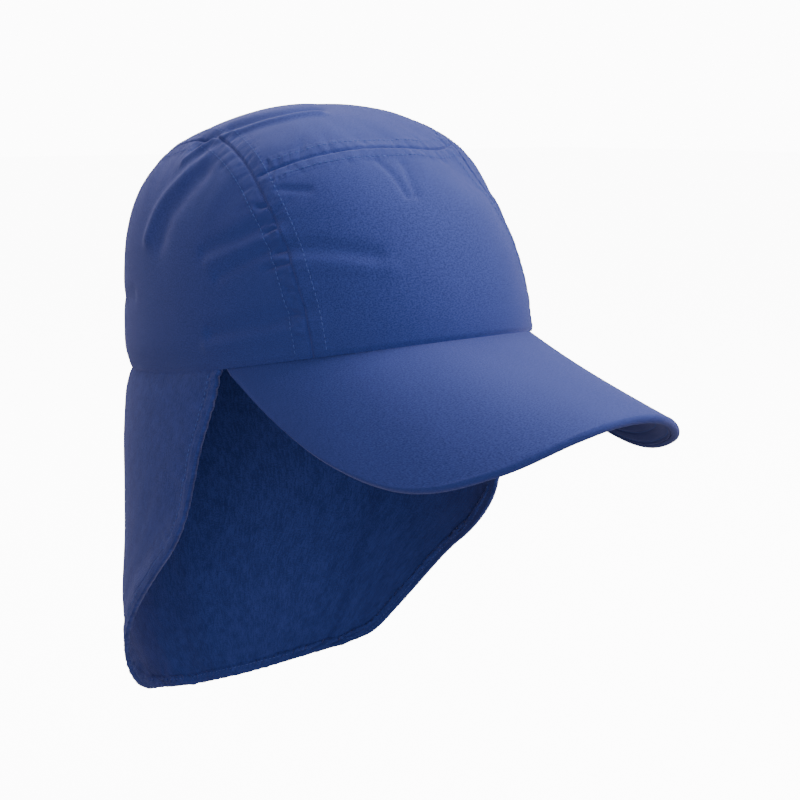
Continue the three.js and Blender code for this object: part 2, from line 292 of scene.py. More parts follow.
# soft folds of the crown, as lines through azimuth and elevation, with the width of each fold and
# its rise above or below the cloth, in millimetres
foldRows = [
    {
        "name": "back crease crest",
        "points": [(-96, 57), (-84, 61), (-64, 63), (-44, 65), (-26, 67)],
        "width": 2.6,
        "rise": 1.0,
    },
    {
        "name": "back crease foot",
        "points": [(-98, 62), (-84, 66), (-64, 68), (-44, 69.5), (-26, 71)],
        "width": 4.2,
        "rise": -1.5,
    },
    {
        "name": "side crest",
        "points": [(-80, 56), (-89, 52), (-97, 48), (-101, 45), (-105, 38)],
        "width": 4.0,
        "rise": 1.0,
    },
    {
        "name": "side hollow",
        "points": [(-78, 51), (-85, 47), (-92, 43), (-95, 37)],
        "width": 5.5,
        "rise": -0.9,
    },
    {
        "name": "drag hollow",
        "points": [(-37, 12), (-47, 10.5), (-66, 10)],
        "width": 3.0,
        "rise": -0.8,
    },
    {
        "name": "drag crest",
        "points": [(-40, 7.5), (-53, 6.5), (-68, 6.5)],
        "width": 2.6,
        "rise": 0.5,
    },
    {
        "name": "front hollow",
        "points": [(-40, 26), (-30, 24), (-21, 21)],
        "width": 3.6,
        "rise": -0.8,
    },
    {
        "name": "front crest",
        "points": [(-38, 22), (-28, 20), (-18, 17.5)],
        "width": 3.6,
        "rise": 0.4,
    },
    {
        "name": "short tuck",
        "points": [(-42, 40.5), (-35, 39)],
        "width": 1.8,
        "rise": -0.5,
    },
    {
        "name": "cross drag",
        "points": [(-11, 45), (-9, 41), (-8, 35)],
        "width": 1.8,
        "rise": -0.5,
    },
    {
        "name": "cross drag second",
        "points": [(-3, 44), (-4, 40), (-5, 35)],
        "width": 2.0,
        "rise": -0.45,
    },
    {
        "name": "side drag",
        "points": [(-44, 33.5), (-54, 32), (-68, 31)],
        "width": 3.4,
        "rise": -0.7,
    },
    {
        "name": "side drag low",
        "points": [(-41, 27), (-50, 26.5), (-62, 24)],
        "width": 2.8,
        "rise": -0.6,
    },
    {
        "name": "side drag crest",
        "points": [(-44, 30), (-54, 29), (-66, 28)],
        "width": 2.6,
        "rise": 0.35,
    },
    {
        "name": "left shoulder",
        "points": [(58, 38), (72, 44), (88, 47), (104, 45)],
        "width": 6.0,
        "rise": 0.9,
    },
    {
        "name": "left hollow",
        "points": [(60, 22), (76, 26), (98, 24)],
        "width": 6.0,
        "rise": -0.8,
    },
    {
        "name": "back drag",
        "points": [(150, 30), (180, 34), (-150, 30)],
        "width": 5.0,
        "rise": -0.8,
    },
    {
        "name": "back drag low",
        "points": [(140, 14), (176, 17), (-146, 12)],
        "width": 4.0,
        "rise": -0.6,
    },
    {
        "name": "right back drag",
        "points": [(-118, 22), (-134, 19), (-152, 24)],
        "width": 4.0,
        "rise": -0.6,
    },
]


def directionTo(azimuth, elevation):
    a, e = np.radians(azimuth), np.radians(elevation)
    return np.stack([np.sin(a) * np.cos(e), -np.cos(a) * np.cos(e), np.sin(e)], -1)


def foldLine(points):
    # a smooth line over the crown through a few directions
    steps, softenings = 40, 6
    corners = directionTo(*np.array(points, float).T)
    at = np.linspace(0, len(corners) - 1, steps)
    flat = np.stack([np.interp(at, np.arange(len(corners)), corners[:, k]) for k in range(3)], -1)
    for _ in range(softenings):
        flat[1:-1] = (flat[:-2] + 2 * flat[1:-1] + flat[2:]) / 4
    return crownPoints(unit(flat))


# one pucker's ranges, in metres where it has a length; slant is along the seam for each metre away
slit = {
    "width": (0.0007, 0.0012),
    "depth": (0.1, 1.0),
    "length": (0.0055, 0.0085),
    "slant": (-0.5, -0.15),
    "spacing": (0.5, 1.8),
    "longOnes": 0.25,
    "longStretch": 1.8,
    "start": 0.0008,
    "fadeFrom": 0.55,
    "fadeOver": 0.5,
    "widening": 90,
    "crest": 0.12,
    "crestAway": 2,
}


def slits(along, reach, spacing, seed, span, strength):
    # short narrow puckers square to a seam, each at its own place, depth, slant and length
    dice = np.random.default_rng(seed)
    height = np.zeros(len(along))
    place = span[0]
    while place < span[1]:
        width = dice.uniform(*slit["width"])
        depth = dice.uniform(*slit["depth"])
        length = dice.uniform(*slit["length"])
        length *= slit["longStretch"] if dice.random() < slit["longOnes"] else 1
        slant = dice.uniform(*slit["slant"])
        off = along - place + slant * reach
        fade = smooth((reach - length * slit["fadeFrom"]) / (length * slit["fadeOver"]))
        window = smooth(reach / slit["start"]) * (1 - fade)
        spread = width * (1 + slit["widening"] * reach)
        crest = slit["crest"] * bell(off - slit["crestAway"] * spread, spread)
        height += strength * depth * window * (crest - bell(off, spread))
        place += spacing * dice.uniform(*slit["spacing"])
    return height


# where each seam puckers: the side of it, from and to along it, and how strongly
puckerRows = [
    {"seam": "right", "side": -1, "from": 0.007, "to": 0.064, "strength": 1.0, "seed": 3},
    {"seam": "right", "side": -1, "from": 0.066, "to": 0.25, "strength": 0.3, "seed": 4},
    {"seam": "right", "side": 1, "from": 0.02, "to": 0.25, "strength": 0.2, "seed": 5},
    {"seam": "left", "side": 1, "from": 0.008, "to": 0.25, "strength": 0.25, "seed": 6},
    {"seam": "left", "side": -1, "from": 0.01, "to": 0.25, "strength": 0.2, "seed": 7},
    {"seam": "cross", "side": 1, "from": 0.006, "to": 0.1, "strength": 0.35, "seed": 8},
    {"seam": "cross", "side": -1, "from": 0.006, "to": 0.1, "strength": 0.2, "seed": 9},
]
acrossWays = {"right": (1, 0, 0), "left": (1, 0, 0), "cross": (0, 1, 0)}


def crownRelief(points, directions):
    # small height of the cloth over the crown's plain form
    foot = points[:, 2] - rimRise(np.arctan2(points[:, 0], -points[:, 1]))
    height = -seams["rimGroove"] * bell(foot, seams["rimGrooveWidth"])
    for seed, (name, line) in enumerate(seamLines.items()):
        distance, along, across = nearestOn(points, line)
        whole = lineLengths(line)[-1]
        ends, band = 1, seams["bandWidth"]
        if name == "cross":
            ends = smooth(along / seams["crossEnd"]) * smooth((whole - along) / seams["crossEnd"])
            band = seams["crossBand"]
        inBand = 1 - smooth((distance - band) / seams["bandEdge"])
        height += ends * seams["bandRise"] * inBand
        height -= ends * seams["valleyDepth"] * bell(distance, seams["valleyWidth"])
        holes = 1 + seams["holeShare"] * (np.cos(2 * np.pi * along / seams["stitchPitch"]) - 1)
        height -= ends * seams["stitchDip"] * holes * bell(distance - band, seams["stitchDipWidth"])
        side = np.sign(across @ np.array(acrossWays[name], float))
        for row in puckerRows:
            if row["seam"] == name:
                strength = row["strength"] * seams["puckerDepth"] * ends * (side == row["side"])
                span = (row["from"], min(row["to"], whole))
                height += slits(along, distance, seams["puckerSpacing"], row["seed"], span, strength)
        slant = along + seams["pullSlant"] * distance
        fine = ripple(slant, seams["fineSpacing"], 10 + seed) * smooth(distance / millimetre)
        fine *= 1 - smooth((distance - seams["fineFrom"]) / seams["fineOver"])
        height += ends * seams["fineRise"] * fine
        pull = ripple(slant, seams["pullSpacing"], 30 + seed) * smooth(distance / seams["pullStart"])
        pull *= 1 - smooth((distance - seams["pullFrom"]) / seams["pullOver"])
        height += ends * seams["pullRise"] * pull
    for row in foldRows:
        distance, _, _ = nearestOn(points, foldLine(row["points"]))
        rise = seams["foldStrength"] * row["rise"] * millimetre
        height += rise * bell(distance, row["width"] * millimetre)
    return height


def dressed(directions, lift=0.0):
    # points of the cloth's outer face in the worn frame, and the way out of it
    points = crownPoints(directions)
    normals = crownNormals(directions)
    points = points + normals * (crownRelief(points, directions) + lift)[:, None]
    return tilted(points), tilted(normals)


def clothUv(u, v, wide, high):
    # lengths on the cloth in metres, for its weave
    return np.stack([u * wide, v * high], -1)


def gridMesh(name, across, down, place, uvOf):
    # a flat grid whose vertices are moved onto the cloth's surface
    bm = bmesh.new()
    bmesh.ops.create_grid(bm, x_segments=across, y_segments=down, size=0.5)
    mesh = bpy.data.meshes.new(name)
    bm.to_mesh(mesh)
    bm.free()
    flat = np.empty(len(mesh.vertices) * 3)
    mesh.vertices.foreach_get("co", flat)
    flat = flat.reshape(-1, 3)
    u, v = np.clip(flat[:, 0] + 0.5, 0, 1), np.clip(flat[:, 1] + 0.5, 0, 1)
    points = place(u, v)
    mesh.vertices.foreach_set("co", points.astype(np.float32).ravel())
    corner = np.empty(len(mesh.loops), int)
    mesh.loops.foreach_get("vertex_index", corner)
    layer = mesh.uv_layers.new(name="clothUv")
    layer.data.foreach_set("uv", uvOf(u, v)[corner].astype(np.float32).ravel())
    mesh.update()
    return mesh


def crowded(share, amount):
    # shares that lie closer together near both ends
    return share - amount * np.sin(2 * np.pi * share) / (2 * np.pi)


def addPiece(mesh, name, material, nodes=()):
    piece = bpy.data.objects.new(name, mesh)
    bpy.context.scene.collection.objects.link(piece)
    for polygon in mesh.polygons:
        polygon.use_smooth = True
    mesh.materials.append(material)
    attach(piece, "root")
    if nodes:
        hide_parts(*nodes)
    return piece


def facingOut(mesh, normals):
    # turns the whole mesh over where its faces look the wrong way
    total = sum((polygon.normal * polygon.area for polygon in mesh.polygons), Vector())
    if total.dot(Vector(normals.mean(0))) < 0:
        mesh.flip_normals()


def solidify(piece, thickness):
    wall = piece.modifiers.new("wall", "SOLIDIFY")
    wall.thickness = thickness
    wall.offset = -1
    wall.use_even_offset = False
    return wall


print("materials")


def clothGrain():
    # plain weave, fine grain and slubs, as a shade around one and a height
    group = bpy.data.node_groups.new("clothGrain", "ShaderNodeTree")
    group.interface.new_socket(name="Cloth UV", in_out="INPUT", socket_type="NodeSocketVector")
    for name in ("Thread", "Slub", "Mottle"):
        group.interface.new_socket(name=name, in_out="INPUT", socket_type="NodeSocketFloat")
    for name in ("Shade", "Height"):
        group.interface.new_socket(name=name, in_out="OUTPUT", socket_type="NodeSocketFloat")
    nodes, links = group.nodes, group.links
    source = nodes.new("NodeGroupInput")
    target = nodes.new("NodeGroupOutput")

    def combine(operation, first, second):
        node = nodes.new("ShaderNodeMath")
        node.operation = operation
        for socket, value in zip(node.inputs, (first, second)):
            if isinstance(value, (int, float)):
                socket.default_value = value
            else:
                links.new(value, socket)
        return node.outputs[0]

    def noise(scaleX, scaleY, detail):
        mapping = nodes.new("ShaderNodeMapping")
        mapping.inputs["Scale"].default_value = (scaleX, scaleY, 1)
        links.new(source.outputs["Cloth UV"], mapping.inputs["Vector"])
        texture = nodes.new("ShaderNodeTexNoise")
        texture.inputs["Scale"].default_value = 1
        texture.inputs["Detail"].default_value = detail
        links.new(mapping.outputs[0], texture.inputs["Vector"])
        return texture.outputs["Fac"]

    def around(scaleX, scaleY, detail):
        return combine("SUBTRACT", noise(scaleX, scaleY, detail), 0.5)

    split = nodes.new("ShaderNodeSeparateXYZ")
    links.new(source.outputs["Cloth UV"], split.inputs[0])
    angles = [combine("DIVIDE", split.outputs[k], source.outputs["Thread"]) for k in (0, 1)]
    warp, weft = [combine("SINE", angle, 0) for angle in angles]
    weave = combine("MULTIPLY", warp, weft)
    grain = around(1900, 1900, 2)
    slub = around(1300, 260, 3)
    speck = around(900, 900, 1)
    cloud = around(160, 110, 2)
    streaks = combine("MULTIPLY", slub, source.outputs["Slub"])
    clouds = combine("MULTIPLY", cloud, source.outputs["Mottle"])
    grains = combine("ADD", combine("MULTIPLY", grain, 1.5), combine("MULTIPLY", speck, 0.35))
    threads = combine("ADD", clouds, combine("MULTIPLY", weave, 0.08))
    shade = combine("ADD", combine("ADD", grains, streaks), threads)
    links.new(combine("ADD", shade, 0.5), target.inputs["Shade"])
    bumps = combine("ADD", combine("MULTIPLY", grain, 0.9), streaks)
    links.new(combine("ADD", combine("MULTIPLY", weave, 0.5), bumps), target.inputs["Height"])
    return group


grainGroup = clothGrain()


def clothMaterial(name, look):
    material = bpy.data.materials.new(name)
    material.use_nodes = True
    nodes, links = material.node_tree.nodes, material.node_tree.links
    shader = nodes["Principled BSDF"]
    uv = nodes.new("ShaderNodeUVMap")
    uv.uv_map = "clothUv"
    grain = nodes.new("ShaderNodeGroup")
    grain.node_tree = grainGroup
    links.new(uv.outputs[0], grain.inputs["Cloth UV"])
    grain.inputs["Thread"].default_value = look["thread"] / (2 * math.pi)
    grain.inputs["Slub"].default_value = look["slub"]
    grain.inputs["Mottle"].default_value = look["mottle"]
    ramp = nodes.new("ShaderNodeValToRGB")
    ramp.color_ramp.elements[0].position = 0.28
    ramp.color_ramp.elements[0].color = (*look["dark"], 1)
    ramp.color_ramp.elements[1].position = 0.72
    ramp.color_ramp.elements[1].color = (*look["light"], 1)
    links.new(grain.outputs["Shade"], ramp.inputs[0])
    links.new(ramp.outputs[0], shader.inputs["Base Color"])
    bump = nodes.new("ShaderNodeBump")
    bump.inputs["Strength"].default_value = look["bump"]
    bump.inputs["Distance"].default_value = 0.00012
    links.new(grain.outputs["Height"], bump.inputs["Height"])
    links.new(bump.outputs[0], shader.inputs["Normal"])
    shader.inputs["Roughness"].default_value = look["roughness"]
    shader.inputs["Specular IOR Level"].default_value = 0.25
    shader.inputs["Sheen Weight"].default_value = look["sheen"]
    shader.inputs["Sheen Roughness"].default_value = 0.42
    shader.inputs["Sheen Tint"].default_value = (*look["sheenTint"], 1)
    return material


blues = {
    "thread": 0.00042,
    "slub": 0.12,
    "mottle": 0.1,
    "dark": (0.0165, 0.03, 0.165),
    "light": (0.036, 0.056, 0.265),
    "bump": 0.4,
    "roughness": 0.8,
    "sheen": 0.33,
    "sheenTint": (0.52, 0.5, 1.0),
}
crownCloth = clothMaterial("crownCloth", blues)
peakCloth = clothMaterial("peakCloth", {**blues, "slub": 0.05, "mottle": 0.06})
# the peak's lining: the same blue cloth painted darker, as painted shade under the peak
liningClothPaintedShade = clothMaterial(
    "liningClothPaintedShade", {**blues, "dark": (0.01, 0.019, 0.12), "light": (0.022, 0.036, 0.19), "sheen": 0.3}
)
flapCloth = clothMaterial("flapCloth", {**blues, "slub": 1.1, "mottle": 0.6})
# the stitches' thread: the cloth's blue painted lighter, as a painted highlight on the raised stitches
threadPaintedHighlight = clothMaterial(
    "sewingThreadPaintedHighlight", {**blues, "dark": (0.04, 0.08, 0.3), "light": (0.08, 0.13, 0.42), "bump": 0.1}
)

print("crown panels")


def acrossStrip(share, turn):
    right, left = -seamOffset("right", turn), seamOffset("left", turn)
    return stripDirections(right + (left - right) * share, turn)


def panelPiece(name, node, directionOf, across, down, uvOf):
    directions = {}

    def place(u, v):
        directions["all"] = directionOf(u, v)
        points, normals = dressed(directions["all"])
        directions["normals"] = normals
        return points

    mesh = gridMesh(name, across, down, place, uvOf)
    facingOut(mesh, directions["normals"])
    piece = addPiece(mesh, name, crownCloth, [node])
    solidify(piece, crown["cloth"])
    crisp = piece.modifiers.new("crisp", "EDGE_SPLIT")
    crisp.split_angle = math.radians(crown["crispAngle"])
    return piece


# each panel's rough size as cut, wide and high, which its weave is laid out on
cuts = {"front": (0.1103, 0.0925), "top": (0.0919, 0.2405), "side": (0.19, 0.12)}


def frontDirection(u, v):
    u, v = crowded(u, 0.5), crowded(v, 0.4)
    return acrossStrip(u, v * crossTurn(2 * u - 1))


def topDirection(u, v):
    u, v = crowded(u, 0.5), 1 - crowded(1 - v, 0.3)
    start = crossTurn(2 * u - 1)
    return acrossStrip(u, start + (180 - start) * v)


panelPiece("frontPanel", "front_panel", frontDirection, 150, 130, lambda u, v: clothUv(u, v, *cuts["front"]))
panelPiece("topPanel", "top_panel", topDirection, 150, 260, lambda u, v: clothUv(u, v, *cuts["top"]))


def sideDirection(side, sign, u, v):
    # blended from the panel's four edges: the rim, and the seam up the front, over the top and down the back
    corner = 0.24
    frontShare = 0.35

    def seam(share):
        front = share / frontShare * crossTurn(1.0)
        back = crossTurn(1.0) + (share - frontShare) / (1 - frontShare) * (180 - crossTurn(1.0))
        turn = np.where(share < frontShare, front, back)
        return stripDirections(sign * seamOffset(side, turn), turn)

    ends = seam(np.array([0.0, 1.0]))
    feet = np.arctan2(sign * ends[:, 0], -ends[:, 1])
    angle = feet[0] + (feet[1] - feet[0]) * u
    rim = np.stack([sign * np.sin(angle), -np.cos(angle), np.zeros_like(angle)], -1)
    corners = seam(np.array([corner, 1 - corner]))
    rimEnds = np.stack([sign * np.sin(feet), -np.cos(feet), np.zeros(2)], -1)
    u, v = u[:, None], v[:, None]
    blend = rim * (1 - v) + seam(corner + (1 - 2 * corner) * u[:, 0]) * v
    blend = blend + seam(corner * v[:, 0]) * (1 - u) + seam(1 - corner * v[:, 0]) * u
    blend = blend - rimEnds[0] * (1 - u) * (1 - v) - rimEnds[1] * u * (1 - v)
    return unit(blend - corners[0] * (1 - u) * v - corners[1] * u * v)


def gathered(u, v):
    # shares of the side panel's grid, closer together by its three seams
    return crowded(u, 0.4), 1 - (1 - v) ** 1.35


for side, sign in (("right", -1), ("left", 1)):
    panelPiece(
        "sidePanel" + side.capitalize(),
        "side_panel_" + side,
        lambda u, v, side=side, sign=sign: sideDirection(side, sign, *gathered(u, v)),
        200,
        130,
        lambda u, v: clothUv(u, v, *cuts["side"]),
    )

print("peak")
peak = {
    "length": 0.0832,
    "end": 70.4,
    "board": 0.0022,
    "lining": 0.0009,
    "edgeWrap": 0.003,
    "rootLift": 0.0004,
    "rowsUnder": 6,
    "rowSpacing": 0.0062,
    "firstRow": 0.002,
    "channelDepth": 0.0004,
    "channelWidth": 0.0007,
    "waveRise": 0.00018,
    "waveSpacing": 0.02,
    "waveStart": 0.01,
}
peakRows = [
    {"along": 0, "reach": 1, "droop": 21.1, "splay": 0},
    {"along": 0.25, "reach": 1.027, "droop": 22.6, "splay": -1.4},
    {"along": 0.5, "reach": 1.022, "droop": 29.5, "splay": 0.6},
    {"along": 0.7, "reach": 0.899, "droop": 37.8, "splay": 2.7},
    {"along": 0.85, "reach": 0.626, "droop": 42.5, "splay": 3.9},
    {"along": 0.95, "reach": 0.292, "droop": 44.7, "splay": 3.8},
    {"along": 1, "reach": 0.05, "droop": 44.6, "splay": 2.8},
]


def rimPlan(angle, side=1, back=1):
    # the rim's outline from above, drawn wider or longer, with its length and azimuth
    power = 2 / crown["planPower"]
    reach = np.where(np.cos(angle) >= 0, crown["frontReach"], crown["backReach"])
    x = crown["halfWidth"] * side * np.sign(np.sin(angle)) * np.abs(np.sin(angle)) ** power
    y = -reach * back * np.sign(np.cos(angle)) * np.abs(np.cos(angle)) ** power
    return x, y, np.hypot(x, y), np.arctan2(x, -y)


def rimPoints(angle):
    x, y, length, azimuth = rimPlan(angle)
    shrink = (length - rimTuck(azimuth) - crown["cloth"]) / length
    return np.stack([x * shrink, y * shrink, rimRise(azimuth) + peak["rootLift"]], -1)


def peakFrames(share):
    along = 2 * share - 1
    column = {key: follow(peakRows, "along", key, np.abs(along)) for key in ("reach", "droop", "splay")}
    droop = np.radians(column["droop"])
    splay = np.radians(column["splay"]) * np.sign(along)
    level = np.cos(droop)
    out = np.stack([np.sin(splay) * level, -np.cos(splay) * level, -np.sin(droop)], -1)
    angle = math.radians(peak["end"]) * along
    root = rimPoints(angle)
    nudge = 1e-3
    tangent = rimPoints(angle + nudge) - rimPoints(angle - nudge)
    down = unit(np.cross(tangent, out))
    return root, out, down, peak["length"] * column["reach"]


def peakPoints(share, length, depth):
    root, out, down, reach = peakFrames(share)
    return tilted(root + out * length[:, None] + down * depth[:, None])


def peakPiece(name, node, material, section, across, around):
    # swept along the peak: section gives each point's length out from the rim and its depth
    def place(u, v):
        share = crowded(u, 0.3)
        reach = peakFrames(share)[3]
        length, depth = section(share, v, reach)
        return peakPoints(share, length, depth)

    mesh = gridMesh(name, across, around, place, lambda u, v: clothUv(u, v, 0.2, 0.17))
    bm = bmesh.new()
    bm.from_mesh(mesh)
    bmesh.ops.remove_doubles(bm, verts=bm.verts, dist=1e-6)
    bmesh.ops.holes_fill(bm, edges=[edge for edge in bm.edges if edge.is_boundary], sides=0)
    bmesh.ops.recalc_face_normals(bm, faces=bm.faces)
    bm.to_mesh(mesh)
    bm.free()
    return addPiece(mesh, name, material, [node])


def part(v, first, last):
    # how far v has come from one share of the section's outline to another
    return np.clip((v - first) / (last - first), 0, 1)


def coverSection(share, v, reach):
    # along the top, round the edge, over its wrapped lip, up to the lining and back to the rim
    topEnd, turnEnd, lipEnd, stepEnd = 0.55, 0.7, 0.74, 0.76
    thick = peak["board"] + peak["lining"] + crown["seamGap"]
    radius = thick / 2
    edge = crown["cloth"] + reach
    wrap = np.minimum(peak["edgeWrap"], reach / 3)
    turn = part(v, topEnd, turnEnd) * np.pi
    length = (edge - radius) * part(v, 0, topEnd) + radius * np.sin(turn)
    length -= (wrap - radius) * part(v, turnEnd, lipEnd) + (edge - wrap) * part(v, stepEnd, 1)
    depth = radius * (1 - np.cos(turn)) - (thick - peak["board"]) * part(v, lipEnd, stepEnd)
    closed = v > 0.99999
    depth = np.where(closed, 0, depth)
    waves = ripple(share * 0.25 + 0.3 * length, peak["waveSpacing"], 71)
    soft = peak["waveRise"] * waves * smooth(length / peak["waveStart"])
    return np.where(closed, 0, length), depth - np.where(v < topEnd, soft, 0)


def liningRow(index, reach):
    return crown["cloth"] + reach - peak["edgeWrap"] - peak["firstRow"] - index * peak["rowSpacing"]


def liningSection(share, v, reach):
    # out along the hidden face, down at the edge and back along the stitched one
    hiddenEnd, stepEnd, backEnd = 0.3, 0.32, 0.98
    start = peak["board"] + crown["seamGap"]
    edge = crown["cloth"] + reach - np.minimum(peak["edgeWrap"], reach / 3) - crown["seamGap"]
    length = edge * np.where(v < hiddenEnd, v / hiddenEnd, 1 - part(v, stepEnd, backEnd))
    lower = smooth(part(v, hiddenEnd, stepEnd)) * (1 - smooth(part(v, backEnd, 1)))
    thick = np.full_like(v, peak["lining"])
    for index in range(peak["rowsUnder"]):
        thick -= peak["channelDepth"] * bell(length - liningRow(index, reach), peak["channelWidth"])
    return length, start + thick * lower


peakPiece("peakCover", "peak_cover", peakCloth, coverSection, 220, 150)
peakPiece("peakLining", "peak_lining", liningClothPaintedShade, liningSection, 220, 160)

print("neck flap")
flap = {
    "drop": 0.166,
    "end": 72.6,
    "cloth": 0.0013,
    "hemFold": 0.0009,
    "hemWidth": 0.005,
    "hemStitch": 0.0042,
    "hemRise": 0.0003,
    "hemEdge": 0.0008,
    "stitchDip": 0.0006,
    "stitchDipWidth": 0.0006,
    "holeShare": 0.4,
    "ropeRise": 0.00022,
    "ropePitch": 0.0052,
    "ropeSlant": 0.7,
    "ropeWander": 2.5,
    "pullRise": 0.0004,
    "waveRise": 0.0011,
    "foldRise": 0.0006,
    "width": 0.33,
    "hemLength": 0.29,
    "riseRight": 0.052,
    "riseLeft": 0.038,
    "sinkMiddle": -0.023,
    "topLift": 0.0009,
    "topTurn": 0.0009,
    "topTurnReach": 0.002,
}
flapRows = [
    {"depth": 0, "side": 1, "back": 1, "right": 0, "left": 0},
    {"depth": 0.2, "side": 1.027, "back": 1.012, "right": 5.1, "left": 0},
    {"depth": 0.45, "side": 1.038, "back": 1.007, "right": 13.5, "left": 0.5},
    {"depth": 0.7, "side": 1.083, "back": 1.015, "right": 35, "left": 25},
    {"depth": 0.88, "side": 1.075, "back": 0.976, "right": 53, "left": 41.5},
    {"depth": 0.96, "side": 1.045, "back": 0.94, "right": 61.5, "left": 50},
    {"depth": 1, "side": 1.018, "back": 0.92, "right": 70, "left": 60},
]


def flapPoints(share, depth):
    # hangs straight down from the tilted rim, share 0 at the wearer's left front edge
    column = {key: follow(flapRows, "depth", key, depth) for key in ("side", "back", "right", "left")}
    right = -(flap["end"] + column["right"])
    left = flap["end"] + column["left"] - 360
    angle = np.radians(left + (right - left) * share)
    x, y, length, azimuth = rimPlan(angle, column["side"], column["back"])
    shrink = (length - tuck(azimuth, depth * flap["drop"])) / length
    height = (rimRise(azimuth) + flap["topLift"]) * (1 - depth)
    points = tilted(np.stack([x * shrink, y * shrink, height], -1))
    rise = flap["riseLeft"] * (1 - share) ** 4 + flap["riseRight"] * share**4
    rise = rise + flap["sinkMiddle"] * (4 * share * (1 - share)) ** 2
    points[..., 2] -= flap["drop"] * (1 - rise) * depth
    return points


def flapNormals(share, depth):
    nudge = 1e-4
    more, less = np.minimum(share + nudge, 1), np.maximum(share - nudge, 0)
    lower, upper = np.minimum(depth + nudge, 1), np.maximum(depth - nudge, 0)
    alongU = flapPoints(more, depth) - flapPoints(less, depth)
    alongV = flapPoints(share, lower) - flapPoints(share, upper)
    return -unit(np.cross(alongU, alongV))


steps = np.linspace(0, 1, 260)
zeros, ones = np.zeros_like(steps), np.ones_like(steps)
freeEdge = np.concatenate(
    [flapPoints(zeros, steps), flapPoints(steps, ones)[1:], flapPoints(ones, steps[::-1])[1:]]
)


def flapRelief(points, share, depth):
    # small height of the flap's outer face: hem band, its stitches and roping, pulls and soft folds
    distance, along, _ = nearestOn(points, freeEdge)
    bandEnd = flap["hemWidth"] - 0.0006
    onBand = 1 - smooth((distance - bandEnd) / flap["hemEdge"])
    height = flap["hemRise"] * onBand
    height -= flap["topTurn"] * bell(depth * flap["drop"], flap["topTurnReach"])
    holes = 1 + flap["holeShare"] * (np.cos(2 * np.pi * along / seams["stitchPitch"]) - 1)
    height -= flap["stitchDip"] * holes * bell(distance - flap["hemStitch"], flap["stitchDipWidth"])
    wander = flap["ropeWander"] * ripple(along, 0.012, 85)
    roping = np.cos(2 * np.pi * (along + flap["ropeSlant"] * distance) / flap["ropePitch"] + wander)
    height += flap["ropeRise"] * roping * onBand * (0.5 + 0.5 * ripple(along, 0.02, 86))
    pulls = ripple(along, 0.0032, 81) * 0.6 + ripple(along, 0.009, 82) * 0.4
    beside = smooth(distance / 0.004) * (1 - smooth((distance - 0.005) / 0.01))
    height += flap["pullRise"] * pulls * beside
    across = share * flap["width"]
    height += flap["waveRise"] * ripple(across, 0.03, 83) * smooth(depth / 0.35)
    folds = ripple(across + 0.05 * depth, 0.013, 84) * smooth((depth - 0.05) / 0.4)
    height += flap["foldRise"] * folds
    return height, distance


# what is known of each vertex: the way out of the cloth and the distance to the free edge
flapFacts = {}


def placeFlap(u, v):
    share, depth = crowded(u, 0.5), crowded(v, 0.35)
    points = flapPoints(share, depth)
    height, distance = flapRelief(points, share, depth)
    flapFacts["distance"] = distance
    flapFacts["normals"] = flapNormals(share, depth)
    return points + flapFacts["normals"] * height[:, None]


mesh = gridMesh("neckFlap", 305, 158, placeFlap, lambda u, v: clothUv(u, v, flap["width"], 0.16))
firstFace = mesh.polygons[0]
outward = flapFacts["normals"][list(firstFace.vertices)].mean(0)
if firstFace.normal.dot(Vector(outward)) < 0:
    mesh.flip_normals()
neckFlap = addPiece(mesh, "neckFlap", flapCloth, ["neck_flap"])
hemGroup = neckFlap.vertex_groups.new(name="hem")
inHem = np.nonzero(flapFacts["distance"] < flap["hemWidth"])[0]
hemGroup.add([int(i) for i in inHem], 1.0, "REPLACE")
wall = solidify(neckFlap, flap["cloth"] + flap["hemFold"])
wall.vertex_group = "hem"
wall.thickness_vertex_group = flap["cloth"] / (flap["cloth"] + flap["hemFold"])

print("stitches")


stitch = {"radius": 0.00017, "fill": 0.72, "lift": 0.00005}


def stitchRow(paths, name):
    # small blunt threads along each path, sunk a little into the cloth
    bm = bmesh.new()
    bmesh.ops.create_uvsphere(bm, u_segments=6, v_segments=4, radius=1)
    template = bpy.data.meshes.new("stitchTemplate")
    bm.to_mesh(template)
    bm.free()
    shape = np.array([vertex.co for vertex in template.vertices])
    faces = [list(polygon.vertices) for polygon in template.polygons]
    bpy.data.meshes.remove(template)
    verts, polygons = [], []
    for points, normals in paths:
        lengths = lineLengths(points)
        count = int(lengths[-1] / seams["stitchPitch"])
        middles = (np.arange(count) + 0.5) * seams["stitchPitch"]
        centres = np.stack([np.interp(middles, lengths, points[:, k]) for k in range(3)], -1)
        outs = unit(np.stack([np.interp(middles, lengths, normals[:, k]) for k in range(3)], -1))
        tangents = np.gradient(points, axis=0)
        ways = unit(np.stack([np.interp(middles, lengths, tangents[:, k]) for k in range(3)], -1))
        sides = unit(np.cross(outs, ways))
        radius, half = stitch["radius"], seams["stitchPitch"] * stitch["fill"] / 2
        for centre, out, way, acrossWay in zip(centres, outs, ways, sides):
            start = len(verts)
            local = shape * np.array([radius, half, radius])
            placed = centre + local[:, :1] * acrossWay + local[:, 1:2] * way + local[:, 2:] * out
            verts.extend(placed.tolist())
            polygons.extend([[start + i for i in face] for face in faces])
    mesh = bpy.data.meshes.new(name)
    mesh.from_pydata(verts, [], polygons)
    mesh.uv_layers.new(name="clothUv")
    mesh.update()
    return addPiece(mesh, name, threadPaintedHighlight)


def seamStitchPath(side, sign, offset):
    at = np.linspace(1.5, 178.5, 700)
    seam = seamOffset(side, at)
    line = crownPoints(stripDirections(sign * seam, at))
    near = crownPoints(stripDirections(sign * (seam + millimetre), at))
    spread = millimetre / np.linalg.norm(near - line, axis=1)
    return dressed(stripDirections(sign * (seam + offset * spread), at), stitch["lift"])


